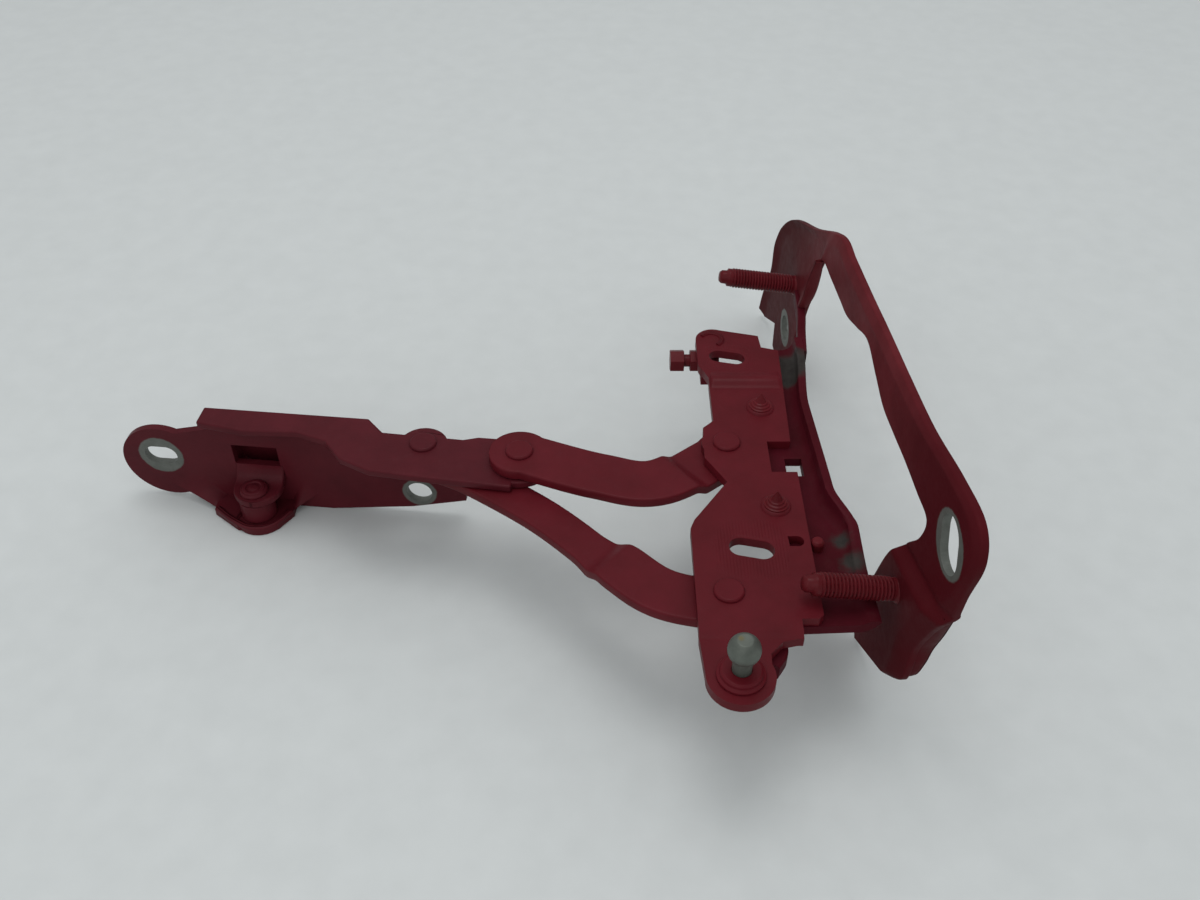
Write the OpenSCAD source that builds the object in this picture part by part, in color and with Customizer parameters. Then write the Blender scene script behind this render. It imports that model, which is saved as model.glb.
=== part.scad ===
// Bonnet hinge: a four-bar linkage between a stamped body bracket and a bonnet arm.
// Millimetres. The origin is the lower slot's centre on the hinge plate's upper face.
// The links turn about +Z, and +Y runs from the strut ball towards the upper ear.

/* [Sheet thicknesses] */
// Hinge plate sheet
plate_t = 3.5; // [2.5:0.5:5]
// Links
link_t = 4; // [3:0.5:5]
// Bonnet arm sheet
arm_t = 3; // [2:0.5:4]
// Body bracket sheet
bracket_t = 3.5; // [2.5:0.5:5]

/* [Pivots] */
// Upper link on the hinge plate
pivot_c = [-4, 52]; // [-120:0.5:120]
// Lower link on the hinge plate
pivot_d = [-9, -18.5]; // [-120:0.5:120]
// Upper link on the bonnet arm
pivot_a = [-78.5, 48.5]; // [-120:0.5:120]
// Lower link on the bonnet arm
pivot_b = [-114.5, 57.5]; // [-120:0.5:120]
// Rivet shank radius
rivet_r = 4; // [3:0.25:6]
// Rivet head radius
rivet_head_r = 5; // [4:0.25:8]
// Rivet head height
rivet_head_h = 1.2; // [0.6:0.1:3]
// Formed tail radius
rivet_tail_r = 6; // [5:0.25:9]
// Bush wall
bush_wall = 1.5; // [0.8:0.1:3]
// Radial running clearance
run_gap = 0.05; // [0.02:0.01:0.1]
// Gap between sheets that slide past each other
side_gap = 0.3; // [0.2:0.05:0.6]
// Room round the upper arm rivet
open_gap = 4; // [3:0.5:6]

/* [Hinge plate] */
// Rise of the upper ear
ear_rise = 1; // [0.5:0.5:3]
// Fall of the ball ear
ball_ear_drop = 1.2; // [0.5:0.1:3]
// Fixing slot width
slot_w = 8; // [6:0.5:10]
// Fixing slot length
slot_len = 15; // [12:0.5:20]
// Turn of the fixing slots
slot_turn = -13; // [-20:1:0]
// Upper slot's centre along Y
upper_slot_y = 101; // [95:0.5:110]

/* [Stop screw] */
// Axis height
stop_z = -7.5; // [-12:0.5:-6.5]
// Axis place along Y
stop_y = 110; // [100:0.5:114]
// Thread radius
stop_r = 2.5; // [2:0.5:4]
// Hex width across flats
stop_af = 8; // [7:0.5:13]

/* [Strut ball] */
// Ball stud place
ball_at = [-8, -50]; // [-80:0.5:80]
// Ball radius
ball_r = 5; // [4:0.5:6.5]
// Ball centre height over the ear
ball_up = 12; // [9:0.5:16]

/* [Body bracket] */
// Upright's face at the near stud, from the slots
upright_x = 45.4; // [40:0.2:60]
// Near stud's place along Y
upright_y = -19; // [-30:0.5:-10]
// Distance between the studs
stud_pitch = 170.5; // [150:0.5:190]
// Turn of the upright about Z
upright_turn = 4.2; // [0:0.1:8]
// Rise of the studs
stud_rise = 10; // [0:1:15]
// Stud thread radius
stud_r = 4; // [3:0.5:5]
// Stud length clear of its pad
stud_len = 31; // [20:1:40]
// Bolt hole radius
bolt_r = 5.5; // [4:0.5:7]
// Floor level under the feet
floor_z = -52; // [-60:1:-40]
// Near end of the upright
near_end = -37; // [-45:1:-32]
// Far end of the upright
far_end = 224; // [215:1:230]
// Head's top at the near end
head_top = 63.5; // [58:0.5:75]
// Where the head falls to the bar
head_far = -9; // [-15:1:0]
// Bar's top past the head
bar_top = 54.5; // [50:0.5:60]
// Where the fall ends
bar_near_s = 44; // [30:1:60]
// Bar's top at its far end
bar_far_top = 52; // [48:1:58]
// Where the bar's top ends
bar_far_s = 128; // [110:1:140]
// Bar's lower edge
bar_low = 36; // [30:1:45]
// Rise of the wavy edge
wave_h = 8; // [0:1:12]
// Oval bolt hole's length
oval_len = 18; // [14:0.5:22]
// Oval bolt hole's width
oval_w = 13; // [9:0.5:15]
// Oval bolt hole's place along the upright and its height
oval_at = [-20, 43]; // [-60:0.5:60]
// Far bolt hole's place along the upright and its height
far_hole = [178, -26.5]; // [-200:0.5:200]
// Middle of the rise
wave_at = 73; // [50:1:90]
// Half length of the rise
wave_half = 26; // [15:1:40]
// Gutter wall's top
gutter_top = 2; // [0:0.5:6]
// Gutter wall's outer face
gutter_x = 34.5; // [30:0.5:40]
// Gutter inner bend radius
gutter_r = 4; // [2:0.5:8]
// Turn of the gutter about Z
gutter_turn = 2.7; // [0:0.1:5]
// Gutter's near end
gutter_near = -29; // [-32:1:-25]
// Where the gutter's floor narrows
gutter_step = 103; // [95:1:110]
// Gutter's far end
gutter_far = 112; // [108:1:118]

/* [Bonnet arm] */
// Catch's place on the arm's upright face, from the slots
arm_reach = 181.6; // [170:0.1:200]
// Arm's upright face along Y
arm_y = 73.4; // [65:0.1:80]
// Turn of the arm about Z
arm_turn = -6.1; // [-12:0.1:0]
// Bonnet slot's place along the arm
arm_slot_x = -41; // [-60:0.5:-20]
// Bonnet slot's height
arm_slot_z = -29.5; // [-40:0.5:-20]
// Bonnet hole's place along the arm
arm_hole_x = 61.5; // [40:0.5:80]
// Bonnet hole's height
arm_hole_z = -39.5; // [-44:0.5:-28]
// Bonnet hole radius
arm_hole_r = 5; // [4:0.5:6]
// Catch pin place
pin_at = [-184.5, 65.5]; // [-220:0.5:100]
// Catch pin radius
pin_r = 4; // [3:0.5:5]
// Catch roller radius
roller_r = 6.8; // [5.6:0.2:7.2]
// Catch tab's upper face
tab_top = -37; // [-39:0.5:-34]

/* [Hidden] */
$fn = 64;
red = [0.36, 0.10, 0.12];
dark_red = [0.26, 0.08, 0.10];
zinc = [0.62, 0.63, 0.62];
eps = 0.2;
upright_at = [upright_x, upright_y];
arm_at = [-arm_reach, arm_y];
stud_root_r = stud_r - 0.4;
stud_root_l = 3;
link_top = -plate_t - side_gap;                 // the links' upper face under the plate
upper_top = link_top + 2.8;                     // upper link past its joggle
arm_top = upper_top - link_t - side_gap;        // arm flange's upper face
lower_left_top = arm_top - arm_t - side_gap;    // lower link under the arm
lower_top = upper_top - link_t - side_gap;      // lower link past its joggle
lower_pad_run = [-8.5, 1.4];                     // raised pad from the pivot along the lower link
bush_r = rivet_r + run_gap + bush_wall;
bush_in_r = rivet_r + run_gap;
flange_top = -plate_t;
ear_z = ear_rise;
ball_ear_z = -ball_ear_drop;
lip_t = 3;
lip_at = [-184, 65.5];
lip_r = 10;
tab_w = 18;
tab_mid = -2;                                   // the tab's place along the arm
tongue_drop = 22;                               // the arm's tongue passes under the lower link
lip_top = floor_z + lip_t;
screw_at = [[10, 71.5], [10, 19.5]];
screw_r = 3;
peg_at = [22, 3.2];

// A sheet between two heights
module sheet(top, t) {
    translate([0, 0, top - t])
        linear_extrude(height = t)
            children();
}

// A straight strip of width w from p to q with round ends; waist narrows it between them
module strip(p, q, w, waist = 0) {
    run = norm(q - p);
    translate(p)
        circle(d = w);
    translate(q)
        circle(d = w);
    translate(p)
        rotate(atan2(q[1] - p[1], q[0] - p[0]))
            translate([0, -(w - waist) / 2])
                square([run, w - waist]);
}

// Strips joined along a line of points
module chain(points, w) {
    for (i = [0 : len(points) - 2])
        strip(points[i], points[i + 1], w, 0.5);
}

// A slot of a given length and width about the origin
module slot(length, w) {
    strip([-(length - w) / 2, 0], [(length - w) / 2, 0], w);
}

// A sloped web between two heights, from u = 0 to u = run, w wide
module joggle(from, to, run, w, t) {
    translate([0, w / 2, 0])
        rotate([90, 0, 0])
            linear_extrude(height = w)
                polygon([[-eps, from], [0, from], [run, to], [run + eps, to],
                    [run + eps, to - t], [run, to - t], [0, from - t], [-eps, from - t]]);
}

// A round rivet: low chamfered head, shank and formed tail
module rivet(head_z, shank_end, tail_h) {
    rotate_extrude()
        polygon([[0, head_z + rivet_head_h], [rivet_head_r - 0.5, head_z + rivet_head_h],
            [rivet_head_r, head_z + rivet_head_h - 0.6], [rivet_head_r, head_z], [rivet_r, head_z],
            [rivet_r, shank_end], [tail_h > 0 ? rivet_tail_r : rivet_r, shank_end],
            [tail_h > 0 ? rivet_tail_r - 0.5 : rivet_r, shank_end - tail_h], [0, shank_end - tail_h]]);
}

module bush(top, t) {
    translate([0, 0, top - t])
        difference() {
            cylinder(r = bush_r, h = t);
            translate([0, 0, -1])
                cylinder(r = bush_in_r, h = t + 2);
        }
}

// Flat middle of the hinge plate, between its two ears
module plate_middle() {
    difference() {
        union() {
            polygon([[-8, 84], [-8, 64], [-12, 60], [-12.5, 44], [-5.5, 31.5], [-18, 13], [-19.5, 9],
                [-19.5, -34], [12.5, -34], [12.5, -29.5], [18, -29.5], [19.5, -28], [19.5, 36.5],
                [10.5, 36.5], [10.5, 52.5], [19, 52.5], [20, 84]]);
            translate(pivot_c)
                circle(r = 9);
        }
        rotate(slot_turn)
            slot(slot_len, slot_w);
        translate([14, 3.2])
            slot(7, 4.5);
        for (p = screw_at)
            translate(p)
                circle(r = screw_r);
        for (p = [pivot_c, pivot_d])
            translate(p)
                circle(r = rivet_r);
    }
}

// Upper ear with its slot and half-round recess
module plate_upper_ear() {
    difference() {
        union() {
            polygon([[-8, 88], [20, 88], [20.5, 105.5], [14, 107.5], [13.5, 115], [-4, 119.5],
                [-11.5, 112], [-11.5, 97]]);
            translate([-4.5, 112.5])
                circle(r = 7);
            translate([-5.5, 97])
                circle(r = 6);
        }
        translate([0, upper_slot_y])
            rotate(slot_turn)
                slot(slot_len - 1, slot_w - 1);
    }
}

// Ball ear, a round end below the middle
module plate_ball_ear() {
    difference() {
        union() {
            translate(ball_at)
                circle(r = 10.5);
            polygon([[-19.5, -36], [-18.4, -50.6], [1.5, -51.5], [1.8, -42], [6, -37.5], [12.5, -36]]);
        }
        translate(ball_at)
            circle(r = 4);
    }
}

module hinge_plate() {
    color(red)
        union() {
            sheet(0, plate_t)
                plate_middle();
            translate([6, 84, 0])
                rotate(90)
                    joggle(0, ear_z, 4, 28, plate_t);
            sheet(ear_z, plate_t)
                plate_upper_ear();
            translate([-3.5, -34, 0])
                rotate(-90)
                    joggle(0, ball_ear_z, 2.2, 32, plate_t);
            sheet(ball_ear_z, plate_t)
                plate_ball_ear();
            stop_tab();
        }
}

// The ear's turned-down tab that the stop screw threads through
module stop_tab() {
    tab_x = -9.4;
    tab_t = 3.5;
    difference() {
        translate([tab_x, stop_y - 8, stop_z - 6])
            cube([tab_t, 14, ear_z - stop_z + 6 - plate_t + eps]);
        translate([tab_x - 1, stop_y, stop_z])
            rotate([0, 90, 0])
                cylinder(r = stop_r, h = tab_t + 2);
    }
}

// Frame of the body bracket's upright: local Y along the studs, local -X out of the stud side
module on_upright() {
    translate([upright_at[0], upright_at[1], 0])
        rotate(upright_turn)
            children();
}

// Turns a drawing of (along, height) into an upright sheet from X = 0 to X = t
module upright_sheet(t) {
    rotate([90, 0, 90])
        linear_extrude(height = t)
            children();
}

// Lower edge of the bar: level, with one smooth rise over the window's middle
function rise(u) = abs(u) < 1 ? pow(cos(90 * u), 2) : 0;
function bar_edge(s) = bar_low + wave_h * rise((s - wave_at) / wave_half);

module upright_outline() {
    difference() {
        polygon([[near_end + 5, 31], [near_end, 51], [near_end + 1.5, 58.5], [near_end + 12, head_top],
            [head_far, head_top], [bar_near_s, bar_top], [bar_far_s, bar_far_top],
            [stud_pitch - 15, 37.5], [stud_pitch + 19, 21.5], [stud_pitch + 36, 1],
            [stud_pitch + 38, -16], [far_end, -46], [far_end - 4, -49], [stud_pitch + 26, -37],
            [stud_pitch + 24, floor_z], [8, floor_z], [-14, -28]]);
        polygon(concat([[24, floor_z - 1], [27, -43], [17, -11], [10, 11], [2, 20], [-3, 31]],
            [for (s = [5 : 10 : 135]) [s, bar_edge(s)]],
            [[stud_pitch - 10.5, 11.5], [stud_pitch - 8.5, 2], [stud_pitch - 6.5, -8],
            [stud_pitch - 7.5, -24], [stud_pitch - 5.5, floor_z - 1]]));
    }
}

module upright() {
    difference() {
        union() {
            upright_sheet(bracket_t)
                upright_outline();
            for (s = [0, stud_pitch])
                translate([bracket_t / 2, s, 1])
                    rotate([0, -90 + stud_rise, 0])
                        cylinder(r = 8, h = stud_root_l);
        }
        translate([-1, oval_at[0], oval_at[1]])
            rotate([90, 0, 90])
                linear_extrude(height = bracket_t + 2)
                    rotate(70)
                        slot(oval_len, oval_w);
        translate([-1, far_hole[0], far_hole[1]])
            rotate([0, 90, 0])
                cylinder(r = bolt_r, h = bracket_t + 2);
        for (s = [0, stud_pitch])
            translate([bracket_t / 2, s, 1])
                rotate([0, -90 + stud_rise, 0])
                    cylinder(r = stud_root_r, h = 12);
    }
}

// Gutter profile: flat flange, quarter bend and short wall
module gutter_profile(flat_x) {
    bend_x = gutter_x - bracket_t - gutter_r;
    bend_z = flange_top + gutter_r;
    translate([flat_x, flange_top - bracket_t])
        square([bend_x - flat_x + eps, bracket_t]);
    intersection() {
        translate([bend_x, bend_z])
            difference() {
                circle(r = gutter_r + bracket_t);
                circle(r = gutter_r);
            }
        translate([bend_x, bend_z - 20])
            square([20, 20]);
    }
    translate([gutter_x - bracket_t, bend_z - eps])
        square([bracket_t, gutter_top - bend_z + eps]);
}

module gutter(y0, y1, flat_x) {
    translate([0, y1, 0])
        rotate([90, 0, 0])
            linear_extrude(height = y1 - y0)
                gutter_profile(flat_x);
}

// The gutter's own turn about the middle of the plate
module on_gutter() {
    mid = [gutter_x, 50, 0];
    translate(mid)
        rotate(gutter_turn)
            translate(-mid)
                children();
}

// Both lengths of the gutter; its wall falls towards the near stud
module gutter_run() {
    difference() {
        union() {
            gutter(gutter_near, gutter_step + 1, 9);
            gutter(gutter_step, gutter_far, 25);
        }
        translate([gutter_x - 12, 0, 0])
            upright_sheet(20)
                polygon([[gutter_near - 5, -2.4], [-10, -2.4], [30, gutter_top + 1],
                    [gutter_near - 5, gutter_top + 1]]);
    }
}

// Wall that carries the gutter on to the far plate's edge
module gutter_bridge() {
    translate([0, 0, -4.5])
        linear_extrude(height = 5.9)
            polygon([[28.8, 106], [31.4, 106], [36.2, 146], [34, 146]]);
}

module body_bracket() {
    color(dark_red)
        difference() {
            union() {
                on_upright()
                    upright();
                on_gutter()
                    gutter_run();
                gutter_bridge();
                for (p = screw_at)
                    translate([p[0], p[1], flange_top - bracket_t])
                        cylinder(r = 6.5, h = bracket_t);
                translate([gutter_x - 1, -14, flange_top - bracket_t])
                    cube([12.5, bracket_t, bracket_t + 0.8]);
            }
            for (p = screw_at)
                translate([p[0], p[1], flange_top - bracket_t - 1])
                    cylinder(r = screw_r, h = bracket_t + 2);
            translate([16.5, 38, flange_top - bracket_t - 1])
                cube([6, 9, bracket_t + 2]);
            translate([peg_at[0], peg_at[1], flange_top - bracket_t - 1])
                cylinder(r = 2.2, h = bracket_t + 2);
        }
}

// A weld stud with a dog point, from the middle of the sheet outwards
module stud() {
    translate([bracket_t / 2, 0, 1])
        rotate([0, -90 + stud_rise, 0])
            rotate_extrude()
                polygon([[0, 0], [stud_root_r, 0], [stud_root_r, stud_root_l], [stud_r, stud_root_l],
                    [stud_r, stud_len - 1], [stud_r - 1.2, stud_len + 0.5], [stud_r - 1.2, stud_len + 3],
                    [stud_r - 2, stud_len + 4], [0, stud_len + 4]]);
}

module near_stud() {
    color(red)
        on_upright()
            stud();
}

module far_stud() {
    color(red)
        on_upright()
            translate([0, stud_pitch, 0])
                stud();
}

module ball_stud() {
    neck_r = 3;
    bottom = ball_ear_z - plate_t;
    sink = sqrt(ball_r * ball_r - neck_r * neck_r);
    color(zinc)
        translate([ball_at[0], ball_at[1], 0])
            difference() {
                union() {
                    translate([0, 0, bottom - 1.5])
                        cylinder(r = 5.5, h = 1.5);
                    translate([0, 0, bottom])
                        cylinder(r = 4, h = plate_t + 1.4);
                    translate([0, 0, ball_ear_z + 1])
                        cylinder(r = neck_r, h = ball_up - sink);
                    translate([0, 0, ball_ear_z + ball_up])
                        sphere(r = ball_r);
                }
                translate([-10, -10, ball_ear_z + ball_up + ball_r - 0.6])
                    cube(20);
            }
}

module ball_stud_collar() {
    color(red)
        translate([ball_at[0], ball_at[1], ball_ear_z])
            difference() {
                rotate_extrude()
                    polygon([[0, 0], [7.5, 0], [7.5, 1], [6.5, 1.4], [6.5, 2.4], [5.8, 3], [0, 3]]);
                translate([0, 0, -1])
                    cylinder(r = 4, h = 2.4);
                translate([0, 0, 1.4])
                    cylinder(r = 3, h = 4);
            }
}

// A screw from below whose cone tip stands over the plate
module plate_screw(p) {
    under = flange_top - bracket_t;
    translate([p[0], p[1], 0])
        union() {
            translate([0, 0, under - 3.5])
                cylinder(r = 5.5, h = 3.5, $fn = 6);
            rotate_extrude()
                polygon([[0, under], [screw_r, under], [screw_r, 1.8], [2.2, 2.4], [2.2, 3],
                    [0.4, 6.2], [0, 6.2]]);
        }
}

module plate_screw_upper() {
    color(red)
        plate_screw(screw_at[0]);
}

module plate_screw_lower() {
    color(red)
        plate_screw(screw_at[1]);
}

module locating_peg() {
    color(red)
        translate([peg_at[0], peg_at[1], flange_top - bracket_t])
            rotate_extrude()
                polygon([[0, 0], [2.2, 0], [2.2, bracket_t + 3], [1.6, bracket_t + 4], [0, bracket_t + 4]]);
}

module stop_screw() {
    head_x = -21.5;
    head_l = 5.5;
    color(red)
        translate([0, stop_y, stop_z])
            rotate([0, 90, 0]) {
                translate([0, 0, head_x])
                    cylinder(d = stop_af / cos(30), h = head_l, $fn = 6);
                translate([0, 0, head_x + head_l])
                    cylinder(r = stop_r, h = 14);
            }
}

module stop_nut() {
    nut_x = -13.6;
    nut_l = 4;
    color(red)
        translate([nut_x, stop_y, stop_z])
            rotate([0, 90, 0])
                difference() {
                    cylinder(d = stop_af / cos(30), h = nut_l, $fn = 6);
                    translate([0, 0, -1])
                        cylinder(r = stop_r, h = nut_l + 2);
                }
}

// A band that runs at one height, slopes over a given run and goes on at another height
module band(at, turn, from, to, run, t) {
    reach = 160;
    translate([at[0], at[1], 0])
        rotate(turn)
            translate([0, reach, 0])
                rotate([90, 0, 0])
                    linear_extrude(height = 2 * reach)
                        polygon([[-reach, from], [0, from], [run, to], [reach, to],
                            [reach, to - t], [run, to - t], [0, from - t], [-reach, from - t]]);
}

// A flat plan cut through a band: the children draw the plan
module pressed_link(at, turn, from, to, run) {
    intersection() {
        translate([0, 0, -40])
            linear_extrude(height = 60)
                children();
        band(at, turn, from, to, run, link_t);
    }
}

module upper_link() {
    color(red)
        difference() {
            pressed_link([-30, 34.5], 22, upper_top, link_top, 8) {
                chain([pivot_a, [-50, 37.5], [-29, 34.5], pivot_c], 20);
                for (p = [pivot_a, pivot_c])
                    translate(p)
                        circle(r = 11);
            }
            translate([pivot_a[0], pivot_a[1], -30])
                cylinder(r = rivet_r, h = 40);
            translate([pivot_c[0], pivot_c[1], -30])
                cylinder(r = bush_r, h = 40);
        }
}

module lower_link() {
    w = 19;
    color(red)
        difference() {
            union() {
                pressed_link([-51, 5.5], -42, lower_left_top, lower_top, 9) {
                    chain([pivot_b, [-74, 24.5], [-45.5, 0], [-29.5, -13], pivot_d], w);
                    translate(pivot_d)
                        circle(r = 12);
                }
                sheet(link_top, link_top - lower_top + 1)
                    strip(pivot_d, pivot_d + lower_pad_run, w - 4, 0.5);
            }
            translate([pivot_b[0], pivot_b[1], -30])
                cylinder(r = bush_r, h = 40);
            translate([pivot_d[0], pivot_d[1], -30])
                cylinder(r = bush_r, h = 40);
        }
}

module rivet_a() {
    color(red)
        translate([pivot_a[0], pivot_a[1], 0])
            rivet(upper_top, arm_top - arm_t + 0.2, 0);
}

module rivet_b() {
    color(red)
        translate([pivot_b[0], pivot_b[1], 0])
            rivet(arm_top, lower_left_top - link_t - side_gap, 1.6);
}

module rivet_c() {
    color(red)
        translate([pivot_c[0], pivot_c[1], 0])
            rivet(0, link_top - link_t - side_gap, 1.6);
}

module rivet_d() {
    color(red)
        translate([pivot_d[0], pivot_d[1], 0])
            rivet(0, lower_top - link_t - side_gap, 1.6);
}

module bush_b() {
    color(zinc)
        translate([pivot_b[0], pivot_b[1], 0])
            bush(lower_left_top, link_t);
}

module bush_c() {
    color(zinc)
        translate([pivot_c[0], pivot_c[1], 0])
            bush(link_top, link_t);
}

module bush_d() {
    color(zinc)
        translate([pivot_d[0], pivot_d[1], 0])
            bush(link_top, link_top - lower_top + link_t);
}

// Frame of the bonnet arm: local X along the upright, local -Y out of its front face
module on_arm() {
    translate([arm_at[0], arm_at[1], 0])
        rotate(arm_turn)
            children();
}

module flange_plan() {
    difference() {
        union() {
            on_arm_2d()
                polygon([[-19, arm_t], [-19, -6], [0, -9], [20, -7.5], [32, -11], [40, -20], [52, -25],
                    [72, -26.5], [104, -28], [106, -3], [88, -3], [82, -5], [52, -4], [45, arm_t]]);
            translate(pivot_a)
                circle(r = 12);
            translate(pivot_b)
                circle(r = 9);
        }
        translate(pivot_b)
            circle(r = rivet_r);
        translate(pivot_a)
            circle(r = rivet_r + open_gap);
    }
}

module on_arm_2d() {
    translate(arm_at)
        rotate(arm_turn)
            children();
}

// Upright of the arm, drawn along local X and height
module arm_upright() {
    rotate([90, 0, 0])
        translate([0, 0, -arm_t])
            linear_extrude(height = arm_t)
                difference() {
                    union() {
                        translate([arm_slot_x + 1, arm_slot_z - 3.5])
                            circle(r = 17);
                        polygon([[arm_slot_x, arm_slot_z + 10], [-18.5, -14], [-18.5, arm_top - arm_t],
                            [47, arm_top - arm_t], [47, -16], [51, -tongue_drop], [80, -tongue_drop],
                            [80, -42], [58, -47.5], [25, floor_z],
                            [-28, floor_z], [arm_slot_x - 4, arm_slot_z - 14]]);
                    }
                    translate([arm_slot_x, arm_slot_z])
                        slot(13, 8.5);
                    translate([arm_hole_x, arm_hole_z])
                        circle(r = arm_hole_r);
                    translate([tab_mid - tab_w / 2, tab_top + 0.6])
                        square([tab_w, 15]);
                }
}

module bonnet_arm() {
    color(red)
        on_arm()
            arm_upright();
}

module arm_flange() {
    color(red)
        sheet(arm_top, arm_t)
            flange_plan();
}

// Floor lip under the catch, up to the upright's front face
module arm_lip() {
    color(red)
        sheet(lip_top, lip_t)
            difference() {
                union() {
                    translate(lip_at)
                        circle(r = lip_r);
                    polygon([[-203, 67], [-192, 58.2], [-176.5, 58.6], [-171.5, 66],
                        [-171.5, 76], [-203, 80]]);
                }
                on_arm_2d()
                    translate([-60, 0])
                        square([160, 60]);
                translate(pin_at)
                    circle(r = pin_r);
            }
}

// A tab lanced from the upright and turned out level over the roller
module catch_tab() {
    color(red)
        sheet(tab_top, arm_t)
            difference() {
                strip([pin_at[0], pin_at[1] + 2.5], [pin_at[0] + 1, pin_at[1] + 12], tab_w);
                on_arm_2d()
                    translate([-60, 0])
                        square([160, 60]);
                translate(pin_at)
                    circle(r = pin_r);
            }
}

module catch_pin() {
    color(red)
        translate([pin_at[0], pin_at[1], 0])
            rotate_extrude()
                polygon([[0, tab_top + 1.5], [4.8, tab_top + 1.5], [5.5, tab_top + 0.8], [5.5, tab_top],
                    [pin_r, tab_top], [pin_r, floor_z], [0, floor_z]]);
}

module catch_roller() {
    roller_top = tab_top - arm_t - side_gap;
    roller_low = lip_top + side_gap;
    color(dark_red)
        translate([pin_at[0], pin_at[1], roller_low])
            difference() {
                cylinder(r = roller_r, h = roller_top - roller_low);
                translate([0, 0, -1])
                    cylinder(r = pin_r + run_gap, h = roller_top - roller_low + 2);
            }
}

hinge_plate();
body_bracket();
near_stud();
far_stud();
ball_stud();
ball_stud_collar();
plate_screw_upper();
plate_screw_lower();
locating_peg();
stop_screw();
stop_nut();
upper_link();
lower_link();
rivet_a();
rivet_b();
rivet_c();
rivet_d();
bush_b();
bush_c();
bush_d();
bonnet_arm();
arm_flange();
arm_lip();
catch_tab();
catch_pin();
catch_roller();
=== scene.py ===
"""Bonnet hinge: painted pressings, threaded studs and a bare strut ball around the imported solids."""
import math

import bmesh
import bpy
import numpy as np
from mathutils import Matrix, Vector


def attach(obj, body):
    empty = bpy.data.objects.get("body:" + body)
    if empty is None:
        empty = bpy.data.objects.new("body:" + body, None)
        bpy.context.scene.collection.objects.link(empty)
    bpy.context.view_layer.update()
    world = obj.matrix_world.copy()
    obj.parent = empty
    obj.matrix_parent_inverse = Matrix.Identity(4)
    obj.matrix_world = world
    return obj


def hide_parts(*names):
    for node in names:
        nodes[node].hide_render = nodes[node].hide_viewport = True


MM = 0.001
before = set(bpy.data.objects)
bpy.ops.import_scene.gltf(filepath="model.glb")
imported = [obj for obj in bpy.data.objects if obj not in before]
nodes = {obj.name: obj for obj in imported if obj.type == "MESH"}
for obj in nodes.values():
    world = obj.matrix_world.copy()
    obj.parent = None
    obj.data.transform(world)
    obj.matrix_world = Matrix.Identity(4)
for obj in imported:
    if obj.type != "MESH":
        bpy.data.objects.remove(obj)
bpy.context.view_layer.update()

# Places and levels of the part, in millimetres
PIVOT_A = (-78.5, 48.5)
PIVOT_B = (-114.5, 57.5)
PIVOT_C = (-4.0, 52.0)
PIVOT_D = (-9.0, -18.5)
RIVET_R = 4.0
BUSH_R = 5.55
ARM_AT = (-181.6, 73.4)
ARM_TURN = math.radians(-6.1)
UPRIGHT_AT = (45.4, -19.0)
UPRIGHT_TURN = math.radians(4.2)
STUD_RISE = math.radians(10.0)
STUD_PITCH = 170.5
STUD_LENGTH = 31.0
SHEET = 3.5
ARCH_SHEET = 2.4
GUTTER_X = 34.5
GUTTER_TURN = math.radians(2.7)
FLANGE_TOP = -3.5
BALL_AT = (-8.0, -50.0)
UPPER_SCREW = (10.0, 71.5, 0.0)
LOWER_SCREW = (10.0, 19.5, 0.0)
UPPER_SLOT = (0.0, 101.0)
SLOT_TURN = math.radians(-13)
CATCH_PIN_TOP = (-184.5, 65.5, -35.5)
NEAR_STUD_SINK = 2.1
THREAD_PITCH = 1.25
FOOT_STEP = 2.4
BAR_END = (138.0, 34.5)
CREASE_AWAY = (0.874, 0.485)
GUTTER_MID_Y = 50.0
FLOOR_Z = -52.1

# Table and camera, in metres
TABLE_REACH = 4.0
CAMERA_AT = (-0.0496, -0.2575, 0.275)
CAMERA_DOWN = math.radians(42)


def linear(code):
    """Linear RGBA of an sRGB hex colour: the sRGB curve undone on each channel."""
    raw = np.array([int(code[i:i + 2], 16) for i in (1, 3, 5)]) / 255.0
    low = raw / 12.92
    high = ((raw + 0.055) / 1.055) ** 2.4
    return (*np.where(raw <= 0.04045, low, high), 1.0)


def smooth(t):
    """Smooth step from 0 to 1: 3t squared less 2t cubed, with t held between 0 and 1."""
    t = np.clip(t, 0.0, 1.0)
    return t * t * (3.0 - 2.0 * t)


def curve_through(points, count):
    """A Catmull-Rom curve through a few points, count samples at even steps of its parameter."""
    p = np.asarray(points, float)
    p = np.vstack([2 * p[0] - p[1], p, 2 * p[-1] - p[-2]])
    u = np.linspace(0, len(p) - 3 - 1e-9, count)
    i = u.astype(int)
    t = (u - i)[:, None]
    a, b, c, d = p[i], p[i + 1], p[i + 2], p[i + 3]
    straight = (c - a) * t
    bend = (2 * a - 5 * b + 4 * c - d) * t ** 2
    twist = (3 * b - a - 3 * c + d) * t ** 3
    return 0.5 * (2 * b + straight + bend + twist)


def even(points, count):
    """The same line sampled at even distances along it, by its running length."""
    run = np.r_[0, np.cumsum(np.linalg.norm(np.diff(points, axis=0), axis=1))]
    at = np.linspace(0, run[-1], count)
    return np.stack([np.interp(at, run, points[:, k]) for k in range(points.shape[1])], axis=1)


def side_of(line):
    """Unit vectors across a flat line, to the left of its way."""
    way = np.gradient(line, axis=0)
    way /= np.linalg.norm(way, axis=1)[:, None]
    return np.stack([-way[:, 1], way[:, 0]], axis=1)


def squarish(count, power):
    """A loop between a circle and a square: cosine and sine, each with its size raised to a power."""
    a = np.linspace(0, 2 * np.pi, count, endpoint=False)
    wave = np.stack([np.cos(a), np.sin(a)], axis=1)
    return np.sign(wave) * np.abs(wave) ** power


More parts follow.
